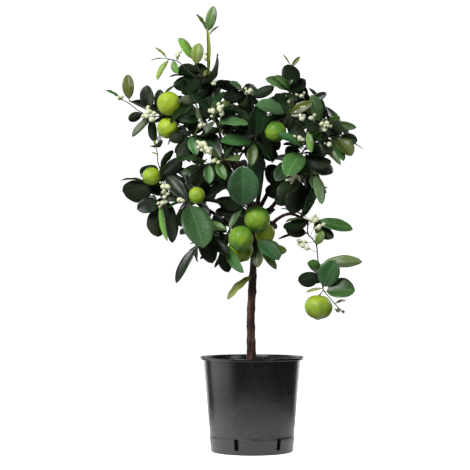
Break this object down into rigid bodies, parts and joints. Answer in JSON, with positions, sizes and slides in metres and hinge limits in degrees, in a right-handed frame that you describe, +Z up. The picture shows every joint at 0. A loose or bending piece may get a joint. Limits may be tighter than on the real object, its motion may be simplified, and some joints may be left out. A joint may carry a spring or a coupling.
{
  "type": "potted lime tree",
  "caption": "Young lime tree on a single stem, with a forked crown of glossy leaves, round green fruit and pale buds, in a tapered black plastic nursery pot with drainage slots.",
  "frame": {"origin": "centre of the pot's flat underside, on the floor plane", "axes": "+Z up along the stem, -Y towards the side that shows the most fruit, +X to the right seen from there"},
  "size_m": [0.5453, 0.3299, 0.946],
  "materials": {
    "pot": "satin",
    "soil": "matte",
    "bark": "matte",
    "leaf": "satin",
    "lime": "satin"
  },
  "bodies": {
    "root": {"nursery_pot": "pot", "root_ball": "soil", "trunk": "bark", "limb_back_left": "bark", "limb_back_right": "bark", "limb_centre": "bark", "limb_front": "bark", "limb_lower_left": "bark", "limb_lower_right": "bark", "limb_upper_left": "bark", "limb_upper_right": "bark", "shoot_back_centre": "leaf", "shoot_back_centre_low": "leaf", "shoot_back_left_low": "leaf", "shoot_back_left_outer": "leaf", "shoot_back_left_top": "leaf", "shoot_back_right_low": "leaf", "shoot_back_right_outer": "leaf", "shoot_back_right_top": "leaf", "shoot_centre_front": "leaf", "shoot_centre_left": "leaf", "shoot_centre_low": "leaf", "shoot_centre_right": "leaf", "shoot_centre_top": "leaf", "shoot_centre_upper": "leaf", "shoot_crown_left": "leaf", "shoot_crown_left_arching": "leaf", "shoot_crown_left_inner": "leaf", "shoot_left_drop": "leaf", "shoot_left_front": "leaf", "shoot_left_front_lower": "leaf", "shoot_left_hanging": "leaf", "shoot_left_low_front": "leaf", "shoot_left_outer": "leaf", "shoot_left_outer_upright": "leaf", "shoot_left_tip": "leaf", "shoot_left_tip_lower": "leaf", "shoot_low_right": "leaf", "shoot_right_arm": "leaf", "shoot_right_edge": "leaf", "shoot_right_fan": "leaf", "shoot_right_fan_top": "leaf", "shoot_right_front": "leaf", "shoot_right_hanging": "leaf", "shoot_right_low": "leaf", "shoot_right_top": "leaf", "shoot_right_upper_front": "leaf", "shoot_trunk_sprout": "leaf", "lime_behind": "lime", "lime_centre": "lime", "lime_front": "lime", "lime_fruitlet": "lime", "lime_hanging": "lime", "lime_left": "lime", "lime_left_inner": "lime", "lime_low": "lime", "lime_right_inner": "lime", "lime_upper_left": "lime", "lime_upper_left_under": "lime"}
  },
  "joints": []
}
